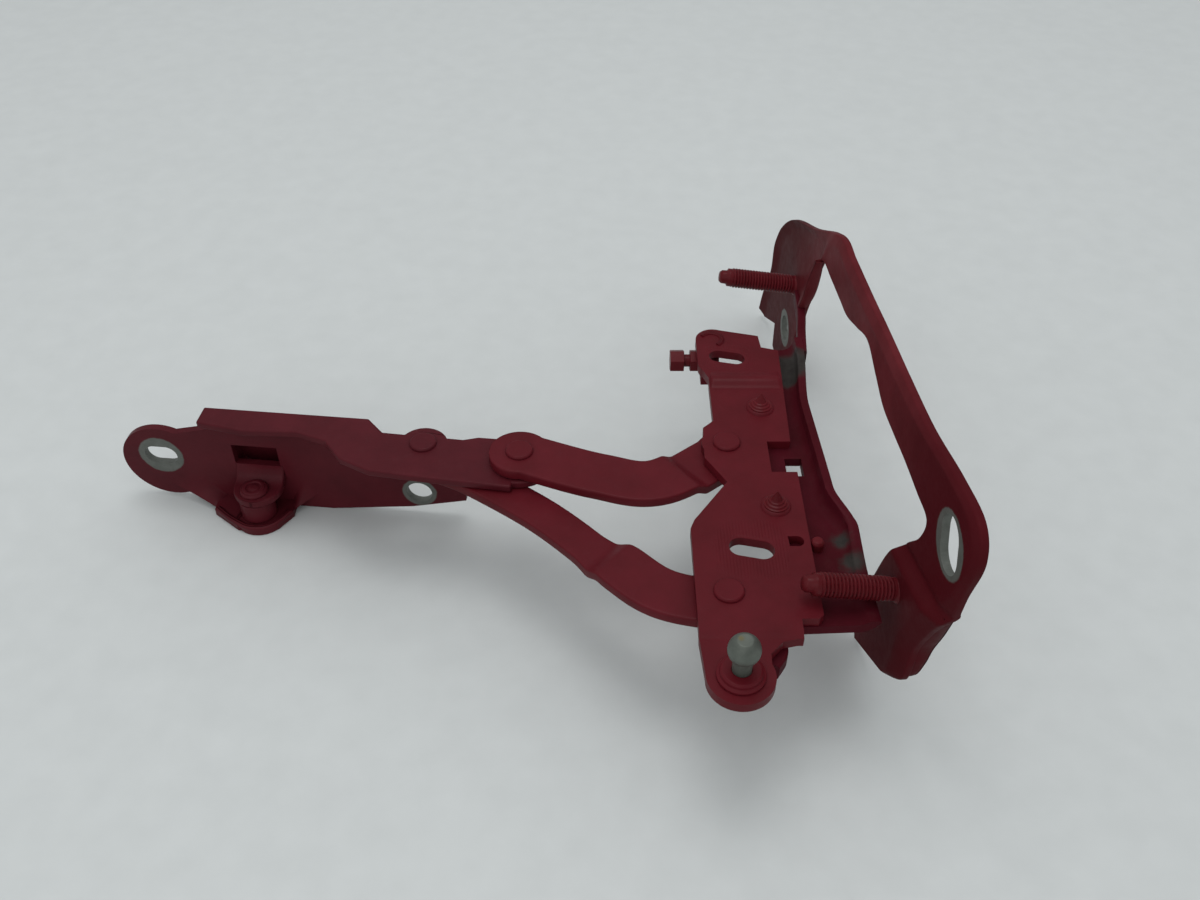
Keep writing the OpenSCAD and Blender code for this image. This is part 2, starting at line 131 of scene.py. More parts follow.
def outward(mesh):
    """Turns every face of a closed mesh outwards, so that its signed volume is above zero."""
    work = bmesh.new()
    work.from_mesh(mesh)
    bmesh.ops.recalc_face_normals(work, faces=work.faces)
    if work.calc_volume(signed=True) < 0:
        bmesh.ops.reverse_faces(work, faces=work.faces)
    work.to_mesh(mesh)
    work.free()


def finish_mesh(name, verts, faces, body, material, angle=40.0):
    """A mesh object in metres at the origin, smooth shaded up to an angle, riding on one body."""
    mesh = bpy.data.meshes.new(name)
    mesh.from_pydata((np.asarray(verts) * MM).tolist(), [], faces)
    mesh.validate()
    outward(mesh)
    mesh.shade_smooth()
    mesh.set_sharp_from_angle(angle=math.radians(angle))
    obj = bpy.data.objects.new(name, mesh)
    bpy.context.scene.collection.objects.link(obj)
    mesh.materials.append(material)
    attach(obj, body)
    return obj


def tube_faces(n, m, caps=True):
    """Quads between n rings of m points each, closed round the ring. An end is closed by a strip of quads
    between point j and point m - 1 - j of its ring."""
    i, j = np.meshgrid(np.arange(n - 1), np.arange(m), indexing="ij")
    k = (j + 1) % m
    quads = np.stack([i * m + j, i * m + k, (i + 1) * m + k, (i + 1) * m + j], axis=-1).reshape(-1, 4)
    a = np.arange(m // 2 - 1)
    strip = np.stack([a + 1, a, m - 1 - a, m - 2 - a], axis=1)
    ends = np.vstack([strip, strip[:, ::-1] + (n - 1) * m])
    return quads.tolist() + (ends.tolist() if caps else [])


def rings(name, grid, body, material, angle=40.0, flip=False):
    """A closed skin over rings of points: grid[i, j] is point j of ring i."""
    n, m = grid.shape[:2]
    grid = grid[:, ::-1] if flip else grid
    return finish_mesh(name, grid.reshape(-1, 3), tube_faces(n, m), body, material, angle)


def band(left, right, thick, edge, across=10, corner=4):
    """Rings of a flat bar with rounded edges. Each ring runs over the top from left to right and back below.
    A point is left + (right - left) * share + inset, and its depth goes from 0 at the top to thick below."""
    width = np.linalg.norm(right - left, axis=1)[:, None]
    out = (right - left) / np.maximum(width, 1e-6)
    phi = np.linspace(0, np.pi / 2, corner + 1)
    inset, drop = 1 - np.cos(phi), 1 - np.sin(phi)
    mids = np.arange(1, across) / across
    zero = np.zeros_like(mids)
    share = np.r_[0 * phi, mids, 1 + 0 * phi, 1 + 0 * phi, mids[::-1], 0 * phi]
    move = np.r_[inset, zero, -inset[::-1], -inset, zero, inset[::-1]]
    depth = np.r_[drop, zero, drop[::-1], -drop, zero, -drop[::-1]]
    below = np.r_[0 * phi, zero, 0 * phi, 0 * phi + 1, zero + 1, 0 * phi + 1]
    r = np.minimum(edge, 0.45 * width)
    place = share * width + move * r
    flat = left[:, None, :] + out[:, None, :] * place[:, :, None]
    return flat, below * thick + depth * np.minimum(r, 0.45 * thick)


def turned(profile, sides=48):
    """Rings of a turned shape: each (radius, height) of the profile swept once round the axis."""
    p = np.asarray(profile, float)
    turn = np.linspace(0, 2 * np.pi, sides, endpoint=False)
    ring = np.stack([np.cos(turn), np.sin(turn)], axis=1)
    flat = p[:, None, :1] * ring[None]
    return np.concatenate([flat, np.repeat(p[:, None, 1:], sides, axis=1)], axis=2)


def placed(grid, at, x_axis, y_axis, z_axis):
    """Points carried into a frame: at + x * x_axis + y * y_axis + z * z_axis."""
    return np.asarray(at) + grid @ np.array([x_axis, y_axis, z_axis], float)


def upright_point(off, s, h):
    """A point of the upright's frame: off across the sheet, s along the studs, h up."""
    c, w = math.cos(UPRIGHT_TURN), math.sin(UPRIGHT_TURN)
    return np.stack([UPRIGHT_AT[0] + off * c - s * w, UPRIGHT_AT[1] + off * w + s * c, h], axis=-1)


def cut(obj, *cutters, folded=False):
    """Takes closed tool shapes out of a piece and removes the tools. A folded piece is searched for its
    own crossings first."""
    tools = []
    for n, (verts, faces) in enumerate(cutters):
        mesh = bpy.data.meshes.new("tool")
        mesh.from_pydata((np.asarray(verts) * MM).tolist(), [], faces)
        outward(mesh)
        tool = bpy.data.objects.new("tool", mesh)
        bpy.context.scene.collection.objects.link(tool)
        mod = obj.modifiers.new(f"hole{n}", "BOOLEAN")
        mod.operation = "DIFFERENCE"
        mod.solver = "EXACT"
        mod.use_self = folded
        mod.object = tool
        tools.append(tool)
    bpy.context.view_layer.update()
    shape = bpy.data.meshes.new_from_object(obj.evaluated_get(bpy.context.evaluated_depsgraph_get()))
    obj.modifiers.clear()
    obj.data = shape
    for tool in tools:
        bpy.data.objects.remove(tool)


def post(outline, at, x_axis, y_axis, z_axis, low, high):
    """A straight tool with a flat outline, from low to high along its own axis."""
    o = np.asarray(outline, float)
    flat = np.stack([np.c_[o, np.full(len(o), z)] for z in (low, high)])
    return placed(flat, at, x_axis, y_axis, z_axis).reshape(-1, 3), tube_faces(2, len(o))


def oval(length, width, turn=0.0, count=64):
    """A slot outline: two half circles of the width joined by straight sides, turned by an angle, with
    its points at even distances from the middle of its right end."""
    a = np.linspace(-np.pi / 2, np.pi / 2, 41)
    end = np.stack([np.cos(a) * width / 2 + (length - width) / 2, np.sin(a) * width / 2], axis=1)
    whole = np.vstack([end[20:], -end, end[:21]])
    whole = even(whole, count + 1)[:-1]
    c, s = math.cos(turn), math.sin(turn)
    return whole @ np.array([[c, s], [-s, c]])


# Materials
def add(tree, kind, settings=None, **links):
    """Adds a node, sets its properties and plain inputs, and links sockets given as inputs."""
    node = tree.nodes.new(kind)
    for key, value in (settings or {}).items():
        if isinstance(key, str) and hasattr(node, key):
            setattr(node, key, value)
        else:
            node.inputs[key].default_value = value
    for key, socket in links.items():
        target = int(key[1:]) if key[0] == "_" else key.replace("_", " ")
        tree.links.new(socket, node.inputs[target])
    return node


def start(name):
    """An empty node material with its shader, its output and object coordinates."""
    mat = bpy.data.materials.new(name)
    mat.use_nodes = True
    tree = mat.node_tree
    tree.nodes.clear()
    shader = add(tree, "ShaderNodeBsdfPrincipled")
    add(tree, "ShaderNodeOutputMaterial", Surface=shader.outputs[0])
    place = add(tree, "ShaderNodeTexCoord").outputs["Object"]
    return mat, tree, shader, place


def frayed_distance(tree, place, centre, fray, reach):
    """The distance from a centre, made longer by a noise of up to reach millimetres."""
    span = {"operation": "DISTANCE", 1: [c * MM for c in centre]}
    away = add(tree, "ShaderNodeVectorMath", span, _0=place)
    more = {"operation": "MULTIPLY_ADD", 1: reach * MM}
    return add(tree, "ShaderNodeMath", more, _0=fray, _2=away.outputs[1]).outputs[0]


def bare_rings(tree, place, spots, fray, soft):
    """A mask that is 1 on bare rings: each spot is a centre and a radius, with a rim that frays by twice the
    soft width and fades over it."""
    total = None
    for centre, radius in spots:
        frayed = frayed_distance(tree, place, centre, fray, 2 * soft)
        edge = {"interpolation_type": "SMOOTHSTEP", 1: (radius + 0.7 + soft) * MM, 2: (radius + 0.7) * MM}
        mask = add(tree, "ShaderNodeMapRange", edge, _0=frayed).outputs[0]
        if total is not None:
            mask = add(tree, "ShaderNodeMath", {"operation": "MAXIMUM"}, _0=total, _1=mask).outputs[0]
        total = mask
    return total


def red_paint(name, main, shade, dust, rough, spots=(), painted_shade_bands=(), bare=("#464742", "#727570"),
              shine=0.1, soft=0.8):
    """Sprayed body paint over zinc-coated steel: dark red, satin gloss, faint orange peel of about 1 mm,
    a thin grey dust film in broad patches, painted shade as a darker tone towards the ends where the faces
    turn away from the light, and bare zinc where bolts have rubbed it off."""
    mat, tree, shader, place = start(name)
    broad = add(tree, "ShaderNodeTexNoise", {"Scale": 55.0, "Detail": 4.0, "Roughness": 0.6}, Vector=place)
    peel = add(tree, "ShaderNodeTexNoise", {"Scale": 900.0, "Detail": 2.0}, Vector=place)
    grit = add(tree, "ShaderNodeTexNoise", {"Scale": 260.0, "Detail": 6.0, "Roughness": 0.7}, Vector=place)
    ramp = add(tree, "ShaderNodeMapRange", {1: 0.3, 2: 0.7}, _0=broad.outputs[0])
    tones = {"data_type": "RGBA", 6: linear(main), 7: linear(shade)}
    base = add(tree, "ShaderNodeMix", tones, _0=ramp.outputs[0])
    film = add(tree, "ShaderNodeMapRange", {1: 0.55, 2: 0.85, 4: 0.3}, _0=grit.outputs[0])
    tones = {"data_type": "RGBA", 7: linear(dust)}
    colour = add(tree, "ShaderNodeMix", tones, _0=film.outputs[0], _6=base.outputs[2])
    span = {1: 0.3, 2: 0.75, 3: rough - 0.05, 4: rough + 0.12}
    gloss = add(tree, "ShaderNodeMapRange", span, _0=grit.outputs[0])
    last_colour, last_rough = colour.outputs[2], gloss.outputs[0]
    # painted shade: bands along Y darken the colour where the faces turn away from the light
    for start_y, end_y, tone in painted_shade_bands:
        split = add(tree, "ShaderNodeSeparateXYZ", Vector=place)
        span = {1: start_y * MM, 2: end_y * MM, 4: 0.8}
        part = add(tree, "ShaderNodeMapRange", span, _0=split.outputs[1])
        tones = {"data_type": "RGBA", 7: linear(tone)}
        mixed = add(tree, "ShaderNodeMix", tones, _0=part.outputs[0], _6=last_colour)
        last_colour = mixed.outputs[2]
    if spots:
        metal = bare_rings(tree, place, spots, grit.outputs[0], soft)
        tones = {"data_type": "RGBA", 6: linear(bare[0]), 7: linear(bare[1])}
        zinc = add(tree, "ShaderNodeMix", tones, _0=grit.outputs[0])
        both = {"_6": last_colour, "_7": zinc.outputs[2]}
        mixed = add(tree, "ShaderNodeMix", {"data_type": "RGBA"}, _0=metal, **both)
        last_colour = mixed.outputs[2]
        mixed = add(tree, "ShaderNodeMix", {3: 0.46}, _0=metal, _2=last_rough)
        last_rough = mixed.outputs[0]
        part_metal = add(tree, "ShaderNodeMath", {"operation": "MULTIPLY", 1: 0.35}, _0=metal)
        tree.links.new(part_metal.outputs[0], shader.inputs["Metallic"])
    tree.links.new(last_colour, shader.inputs["Base Color"])
    tree.links.new(last_rough, shader.inputs["Roughness"])
    bump = add(tree, "ShaderNodeBump", {"Strength": 0.10, "Distance": 0.0004}, Height=peel.outputs[0])
    tree.links.new(bump.outputs[0], shader.inputs["Normal"])
    shader.inputs["IOR"].default_value = 1.5
    shader.inputs["Specular IOR Level"].default_value = shine
    shader.inputs["Coat Weight"].default_value = 0.4 * shine
    shader.inputs["Coat Roughness"].default_value = 0.14
    return mat


def zinc_plate(name, dab=None):
    """Dull zinc plate on turned steel: pale grey-green, half matt, mottled over a few millimetres, with a dab
    of old grease where one is given."""
    mat, tree, shader, place = start(name)
    mottle = add(tree, "ShaderNodeTexNoise", {"Scale": 220.0, "Detail": 5.0, "Roughness": 0.65}, Vector=place)
    tones = {"data_type": "RGBA", 6: linear("#4c514b"), 7: linear("#7a7f77")}
    colour = add(tree, "ShaderNodeMix", tones, _0=mottle.outputs[0]).outputs[2]
    if dab:
        frayed = frayed_distance(tree, place, dab, mottle.outputs[0], 2.0)
        mask = add(tree, "ShaderNodeMapRange", {1: 2.4 * MM, 2: 1.6 * MM, 4: 0.5}, _0=frayed)
        grease = {"data_type": "RGBA", 7: linear("#7d6c31")}
        colour = add(tree, "ShaderNodeMix", grease, _0=mask.outputs[0], _6=colour).outputs[2]
    rough = add(tree, "ShaderNodeMapRange", {3: 0.42, 4: 0.6}, _0=mottle.outputs[0])
    tree.links.new(colour, shader.inputs["Base Color"])
    tree.links.new(rough.outputs[0], shader.inputs["Roughness"])
    shader.inputs["Metallic"].default_value = 0.7
    return mat


OVAL_AT = upright_point(np.array(0.0), np.array(-20.0), np.array(43.0))
FAR_HOLE = upright_point(np.array(0.0), np.array(178.0), np.array(-26.5))
ARM_SLOT = (-222.4, 77.8, -29.5)
ARM_HOLE = (-120.4, 66.9, -39.5)
plate_paint = red_paint("satin_red_body_paint", "#56111a", "#4c0e15", "#561f26", 0.42)
arm_paint = red_paint("dusty_red_body_paint", "#4e151d", "#431118", "#54292e", 0.46,
                      spots=[(ARM_SLOT, 8.5), (ARM_HOLE, 6.5)])
link_paint = red_paint("satin_red_link_paint", "#56121b", "#4c0f16", "#58232a", 0.44)
# painted shade: the bracket is darkened below Y 25 mm towards the head and past Y 128 mm on the far plate
bracket_paint = red_paint("thin_red_paint_over_zinc", "#5c2126", "#4c181c", "#603336", 0.45,
                          spots=[(OVAL_AT, 10.0), (FAR_HOLE, 8.0)],
                          painted_shade_bands=[(25.0, -15.0, "#3f0c12"), (128.0, 160.0, "#3a0f12")], shine=0.02)
GUTTER_RUBS = [((25.0, 97.0, -4.0), 11.5), ((31.0, 6.0, -3.5), 4.5), ((33.0, -4.0, -3.0), 5.0)]
gutter_paint = red_paint("rubbed_red_paint_on_gutter", "#47101a", "#3a0c12", "#4a2a2b", 0.46,
                         spots=GUTTER_RUBS, bare=("#231a19", "#474542"), shine=0.03, soft=4.0)
stud_paint = red_paint("red_paint_on_threads", "#5c161d", "#4b1015", "#54282c", 0.36)
ball_zinc = zinc_plate("dull_zinc_ball", dab=(BALL_AT[0] - 1.2, BALL_AT[1] + 0.8, 15.2))
bush_zinc = zinc_plate("dull_zinc_bush")


# Carried-over pressings with rounded edges
def soften(node, material, edge, angle=30.0):
    """Paint-rounded edges on a carried-over solid: its flats are joined, then its sharp edges are rolled."""
    obj = nodes[node]
    obj.data.materials.clear()
    obj.data.materials.append(material)
    weld = obj.modifiers.new("joined", "WELD")
    weld.merge_threshold = 0.00001
    flats = obj.modifiers.new("flats", "DECIMATE")
    flats.decimate_type = "DISSOLVE"
    flats.angle_limit = math.radians(1.0)
    roll = obj.modifiers.new("rolled_edges", "BEVEL")
    roll.limit_method = "ANGLE"
    roll.angle_limit = math.radians(angle)
    roll.width = edge * MM
    roll.segments = 3
    roll.use_clamp_overlap = True
    obj.modifiers.new("even_shade", "WEIGHTED_NORMAL").keep_sharp = True
    obj.data.shade_smooth()


for node, material, edge in (
        ("hinge_plate", plate_paint, 0.5), ("bonnet_arm", arm_paint, 0.6), ("arm_flange", arm_paint, 0.7),
        ("arm_lip", arm_paint, 0.7), ("catch_tab", arm_paint, 0.6), ("catch_pin", arm_paint, 0.25),
        ("catch_roller", arm_paint, 0.5), ("rivet_a", link_paint, 0.25), ("rivet_b", arm_paint, 0.25),
        ("rivet_c", plate_paint, 0.25), ("rivet_d", plate_paint, 0.25), ("stop_nut", stud_paint, 0.5),
        ("stop_screw", stud_paint, 0.6), ("ball_stud_collar", plate_paint, 0.25),
        ("locating_peg", stud_paint, 0.3), ("bush_b", bush_zinc, 0.2), ("bush_c", bush_zinc, 0.2),
        ("bush_d", bush_zinc, 0.2), ("ball_stud", ball_zinc, 0.2), ("plate_screw_upper", stud_paint, 0.2),
        ("plate_screw_lower", stud_paint, 0.2)):
    soften(node, material, edge)


# Links
def link(name, node, line, half, waist, start_r, end_r, height, thick, bores, body):
    """A pressed link. Its centre line is smooth, its half width narrows by the waist over its first part and
    swells to a round eye at each end as the root of r squared less distance squared, and its top follows
    height(x, y)."""
    mid = even(curve_through(line, 400), 260)
    run = np.r_[0, np.cumsum(np.linalg.norm(np.diff(mid, axis=0), axis=1))]
    way = np.gradient(mid, axis=0)
    way /= np.linalg.norm(way, axis=1)[:, None]
    mid = np.vstack([mid[0] - way[0] * start_r, mid, mid[-1] + way[-1] * end_r])
    ends = np.r_[0, start_r + run, start_r + run[-1] + end_r]
    at = np.unique(np.r_[start_r * (1 - np.cos(np.linspace(0.06, 1.5, 14))),
                         np.linspace(start_r, ends[-1] - end_r, 140),
                         ends[-1] - end_r * (1 - np.cos(np.linspace(0.06, 1.5, 14)))])
    mid = np.stack([np.interp(at, ends, mid[:, k]) for k in (0, 1)], axis=1)
    way = np.gradient(mid, at, axis=0)
    way /= np.linalg.norm(way, axis=1)[:, None]
    side = np.stack([-way[:, 1], way[:, 0]], axis=1)
    eye_a = np.sqrt(np.clip(start_r ** 2 - (at - start_r) ** 2, 0, None))
    eye_b = np.sqrt(np.clip(end_r ** 2 - (at - ends[-1] + end_r) ** 2, 0, None))
    share = at / ends[-1]
    slim = half - waist * smooth((share - 0.08) / 0.14) * smooth((0.68 - share) / 0.12)
    body_w = slim * smooth((at - 0.7 * start_r) / 3) * smooth((ends[-1] - 0.7 * end_r - at) / 3)
    wide = np.maximum(np.maximum(eye_a, eye_b), body_w)[:, None]
    flat, depth = band(mid + side * wide, mid - side * wide, thick, 0.7, across=14)
    top = height(flat[..., 0], flat[..., 1])
    obj = rings(name, np.concatenate([flat, (top - depth)[..., None]], axis=2), body, link_paint, flip=True)
    cut(obj, *[post(oval(2 * r, 2 * r), (*p, 0), (1, 0, 0), (0, 1, 0), (0, 0, 1), -30, 20) for p, r in bores])
    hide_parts(node)


def step_height(at, turn, low, high, run):
    """Height that goes smoothly from low to high over a run along a direction in plan."""
    c, s = math.cos(math.radians(turn)), math.sin(math.radians(turn))

    def height(x, y):
        along = (x - at[0]) * c + (y - at[1]) * s
        return low + (high - low) * smooth(along / run)
    return height


link("upper_link_pressing", "upper_link", [PIVOT_A, (-50, 37.5), (-29, 34.5), PIVOT_C], 10, 0, 11, 11,
     step_height((-23.5, 39.5), 38, -1.0, -3.8, 6), 4, [(PIVOT_A, RIVET_R), (PIVOT_C, BUSH_R)], "upper_arm")
link("lower_link_pressing", "lower_link", [PIVOT_B, (-72, 27), (-45, 0.5), (-29.5, -13), PIVOT_D],
     9.3, 2.4, 9.5, 12, step_height((-50.5, 4.2), -42, -8.6, -5.3, 7.5), 4,
     [(PIVOT_B, BUSH_R), (PIVOT_D, BUSH_R)], "lower_arm")


# Threaded studs
def stud(name, node, s, sink):
    """A weld stud with an M8 thread: the radius swings with height less turn over one pitch, and the
    thread fades out at the root and before the dog point. Its root starts higher by sink, where the sheet
    steps forward."""
    core, crest, groove, weld = 3.7, 0.3, 0.62, 0.9
    thread = np.arange(3.1 + sink, STUD_LENGTH, THREAD_PITCH / 9)
    z = np.r_[np.linspace(0.5, 3, 6) + sink, thread, STUD_LENGTH + 0.3]
    turn = np.linspace(0, 2 * np.pi, 56, endpoint=False)
    phase = (z[:, None] / THREAD_PITCH - turn[None] / (2 * np.pi)) % 1.0
    wave = 1 - np.abs(2 * phase - 1)
    fade = (smooth((z - sink - 3.2) / 2.0) * smooth((STUD_LENGTH - 0.8 - z) / 1.2))[:, None]
    radius = core + crest * fade - groove * fade * (1 - np.clip(1.5 * wave, 0, 1))
    root = (z - sink)[:, None]
    radius = np.where(root < 3.05, core + weld * (1 - smooth((root - 1.5) / 1.5)), radius)
    rise = np.repeat(z[:, None], len(turn), 1)
    flat = np.stack([radius * np.cos(turn), radius * np.sin(turn), rise], axis=-1)
    nose = turned([(2.8, STUD_LENGTH + 0.9), (2.75, STUD_LENGTH + 2.9), (2.1, STUD_LENGTH + 3.8),
                   (0.6, STUD_LENGTH + 4.0)], len(turn))
    grid = np.concatenate([flat, nose])
    c, w = math.cos(UPRIGHT_TURN), math.sin(UPRIGHT_TURN)
    out = np.array([-math.cos(STUD_RISE) * c, -math.cos(STUD_RISE) * w, math.sin(STUD_RISE)])
    along = np.array([-w, c, 0.0])
    base = upright_point(np.array(SHEET / 2), np.array(s), np.array(1.0))
    obj = rings(name, placed(grid, base, along, np.cross(out, along), out), "body_side", stud_paint, angle=60)
    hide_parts(node)


stud("near_stud_thread", "near_stud", 0.0, NEAR_STUD_SINK)
stud("far_stud_thread", "far_stud", STUD_PITCH, 0.0)

# Body bracket: an arch of sheet from the near foot over the head and bar to the far foot
ARCH_IN = [(23, -50.5), (27, -43), (25, -29), (19.5, -14), (13.5, 3), (7, 15), (-1, 26), (-2.5, 35.2),
           (8, 36), (22, 36.4), (36, 36), (48, 36.2), (60, 40), (73, 44), (86, 40), (98, 36.2),
           (108, 35.8), (122, 35.5), (138, 34.5), (144.5, 22), (149, 10), (155, -3), (162, -26), (165, -51)]
ARCH_OUT = [(-10, -31), (-14, -26), (-15.5, -18), (-16.5, -8), (-22, 6.5), (-28.5, 20), (-32.5, 36),
            (-35.5, 52), (-29, 60.5), (-11, 59.8), (14, 56), (40, 55), (54, 54.8), (68, 54.5), (82, 54),
            (94, 53.8), (108, 53.6), (125, 53), (155, 37.7), (189, 21.5), (206, 1), (208.5, -16),
            (218, -34), (223, -47)]


def arch():
    """The arch as rings across the sheet, from its inner to its outer edge. Its rim bends back by a power of
    the nearness to the outer edge, and the near foot steps forward below a creased fold line. The far plate
    steps back past the crease at the bar's end."""
    inner = curve_through(ARCH_IN, 320)
    outer = curve_through(ARCH_OUT, 320)
    flat, depth = band(inner, outer, ARCH_SHEET, 0.5, across=40)
    s, h = flat[..., 0], flat[..., 1]
    along = np.linspace(0, 1, len(inner))[:, None]
    foot = 1 - smooth((along - 0.2) / 0.06)
    far = smooth((along - 0.72) / 0.1)
    rim = 4.0 + 3.5 * foot + 3.0 * far
    near_edge = np.clip(1 - np.linalg.norm(flat - outer[:, None, :], axis=2) / rim, 0, 1)
    back = near_edge ** 1.3 * (1.4 + 1.3 * foot - 3.2 * far)
    fold_line = 15.4 - 0.21 * s
    below = fold_line - h
    near_half = 1 - smooth((along - 0.3) / 0.05)
    lean = near_half * (FOOT_STEP * smooth(below / 5.5) - 0.4 * np.exp(-((below + 0.8) / 1.2) ** 2))
    past_bar = CREASE_AWAY[0] * (s - BAR_END[0]) + CREASE_AWAY[1] * (h - BAR_END[1])
    crease = 1.7 * smooth(past_bar / 4) - 0.9 * np.exp(-((past_bar + 0.5) / 1.3) ** 2)
    crease = crease * far * smooth((h - 8) / 22)
    off = depth + back - lean + crease
    obj = rings("bracket_upright", upright_point(off, s, h), "body_side", bracket_paint)
    c, w = math.cos(UPRIGHT_TURN), math.sin(UPRIGHT_TURN)
    frame_axes = ((-w, c, 0), (0, 0, 1), (c, w, 0))
    notch = np.array([(196, -37), (219, -49), (232, -58), (194.5, -58)])
    cut(obj, post(oval(18, 13, math.radians(70)), OVAL_AT, *frame_axes, -15, 15),
        post(oval(11, 11), FAR_HOLE, *frame_axes, -20, 20),
        post(notch, upright_point(0.0, 0.0, 0.0), *frame_axes, -20, 20))
    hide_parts("body_bracket")


arch()


def hem(name, line, front, depth, wide):
    """A rolled edge at the sheet's rim: a round-cornered bar that is deepest and widest at its middle,
    both by the sine of the way along it, with its front face at one offset."""
    mid = even(curve_through(line, 300), 90)
    side = side_of(mid)
    swell = np.sin(np.pi * np.linspace(0.02, 0.98, len(mid)))[:, None]
    half = wide * (0.3 + 0.7 * swell) / 2
    flat, down = band(mid - side * half, mid + side * half, 1.0, 1.0, across=5)
    s, h = flat[..., 0], flat[..., 1]
    obj = rings(name, upright_point(front + down * (3.0 + depth * swell), s, h), "body_side", bracket_paint)


FOOT_HEM = [(-9.5, -29.5), (-13, -24.5), (-14.3, -17), (-15.5, -7.5), (-20.8, 6.5), (-27, 19.5)]
hem("bracket_foot_hem", FOOT_HEM, 1.2, 3.0, 2.6)
hem("bracket_far_hem", [(138.5, 33.5), (145.5, 21.5), (150.2, 10), (156, -2.5)], -2.2, 2.0, 4.2)


def gutter():
    """The gutter: a floor, a quarter bend and a wall, carried along its own line. The bend stops where
    its height c - r cos(angle) meets the wall's top, and a higher top goes on as a straight wall. The wall
    sways towards the plate over its middle."""
    y = np.linspace(-29, 112, 150)
    top = -2.4 + 4.6 * smooth((y + 12) / 42) + 0.5 * np.sin(y / 17.0) * smooth(y / 20)
    low, outer_r, inner_r = FLANGE_TOP - SHEET, 7.5, 4.0
    cx, cz = GUTTER_X - outer_r, low + outer_r
    share = np.linspace(0, 1, 10)
    turn_out = share * np.arccos(np.clip((cz - top) / outer_r, 0, 1))[:, None]
    turn_in = share[::-1] * np.arccos(np.clip((cz - top) / inner_r, 0, 1))[:, None]
    wall = np.maximum(top - cz, 0)[:, None]
    out_x, out_z = cx + outer_r * np.sin(turn_out), cz - outer_r * np.cos(turn_out)
    in_x, in_z = cx + inner_r * np.sin(turn_in), cz - inner_r * np.cos(turn_in)
    across = np.array([0.1, 0.3, 0.7, 0.9])
    rim_x = out_x[:, -1:] * (1 - across) + in_x[:, :1] * across
    rim_z = (out_z[:, -1:] * (1 - across) + in_z[:, :1] * across) + wall + np.array([0.2, 0.4, 0.4, 0.2])
    floor_end, floor_edge, end_edge = 104, 9.0, 25.0
    x0 = np.where(y < floor_end, floor_edge, end_edge)[:, None]
    flat = 0.0 * x0
    x = np.concatenate([x0, x0 + 0.5, out_x, rim_x, in_x, x0 + 0.5, x0], axis=1)
    under, over = [flat + low + 0.5, flat + low], [flat + FLANGE_TOP, flat + FLANGE_TOP - 0.5]
    z = np.concatenate([*under, out_z, rim_z, in_z, *over], axis=1)
    c, w = math.cos(GUTTER_TURN), math.sin(GUTTER_TURN)
    across_x, along_y = x - GUTTER_X, (y - GUTTER_MID_Y)[:, None]
    sway = -5.2 * smooth((along_y + 41) / 18) + 4.2 * smooth((along_y - 20) / 40)
    across_x = across_x + sway * smooth((across_x + 14) / 5)
    grid = np.stack([GUTTER_X + across_x * c - along_y * w, GUTTER_MID_Y + across_x * w + along_y * c, z],
                    axis=-1)
    obj = rings("bracket_gutter", grid, "body_side", gutter_paint)
    window = np.array([(16.5, 38), (22.5, 38), (22.5, 47), (16.5, 47)])
    cut(obj, post(window, (0, 0, 0), (1, 0, 0), (0, 1, 0), (0, 0, 1), -20, 10), folded=True)
    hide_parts("body_bracket")


gutter()


def ribbon(name, line, half, top, thick, edge, body, material):
    """A flat bar with rounded edges along a smooth line in plan, with its top at one height."""
    mid = even(curve_through(line, 200), 60)
    side = side_of(mid)
    flat, down = band(mid + side * half, mid - side * half, thick, edge, across=4)
    obj = rings(name, np.concatenate([flat, (top - down)[..., None]], axis=2), body, material)
    return obj


GUTTER_WALL = [(30.0, 104), (31.4, 118), (33.2, 132), (33.8, 146)]
GUTTER_TIE = [(33.4, -12.3), (36, -12.3), (40, -12.3), (43.8, -12.3)]
gutter_wall = ribbon("bracket_gutter_wall", GUTTER_WALL, 1.7, 2.0, 6.5, 0.8, "body_side", gutter_paint)
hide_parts("body_bracket")
gutter_tie = ribbon("bracket_gutter_tie", GUTTER_TIE, 1.8, -2.7, 4.3, 0.6, "body_side", gutter_paint)
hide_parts("body_bracket")

# Small pressed and turned details
LIP_EDGE = [(-201.6, 67.6), (-197, 63.4), (-191.7, 59.6), (-187, 57.2), (-181.5, 57.1), (-177.2, 59.8),
            (-172.7, 66.2)]
LIP_RIB_LEFT = [(-193, 61.2), (-192.2, 63.4), (-191.4, 66)]
LIP_RIB_RIGHT = [(-174.8, 62.6), (-174.3, 64.3), (-173.8, 66.2)]
ribbon("lip_rim", LIP_EDGE, 1.2, -48.0, 2.4, 0.9, "bonnet_side", arm_paint)
ribbon("lip_rib_left", LIP_RIB_LEFT, 0.7, -48.2, 1.6, 0.6, "bonnet_side", arm_paint)
ribbon("lip_rib_right", LIP_RIB_RIGHT, 0.6, -48.2, 1.6, 0.5, "bonnet_side", arm_paint)
arc = np.radians(np.linspace(-60, 150, 9))
crescent = np.stack([-5.2 + 4.2 * np.cos(arc), 112.6 + 4.2 * np.sin(arc)], axis=1)
ribbon("ear_crescent", crescent, 0.9, 1.6, 1.2, 0.6, "body_side", plate_paint)
TONGUE = [(-1, -29), (4.5, -32.5), (5.6, -37.5), (2.5, -43)]
ribbon("bracket_tongue", TONGUE, 2.4, -5.2, 6.0, 0.9, "body_side", gutter_paint)


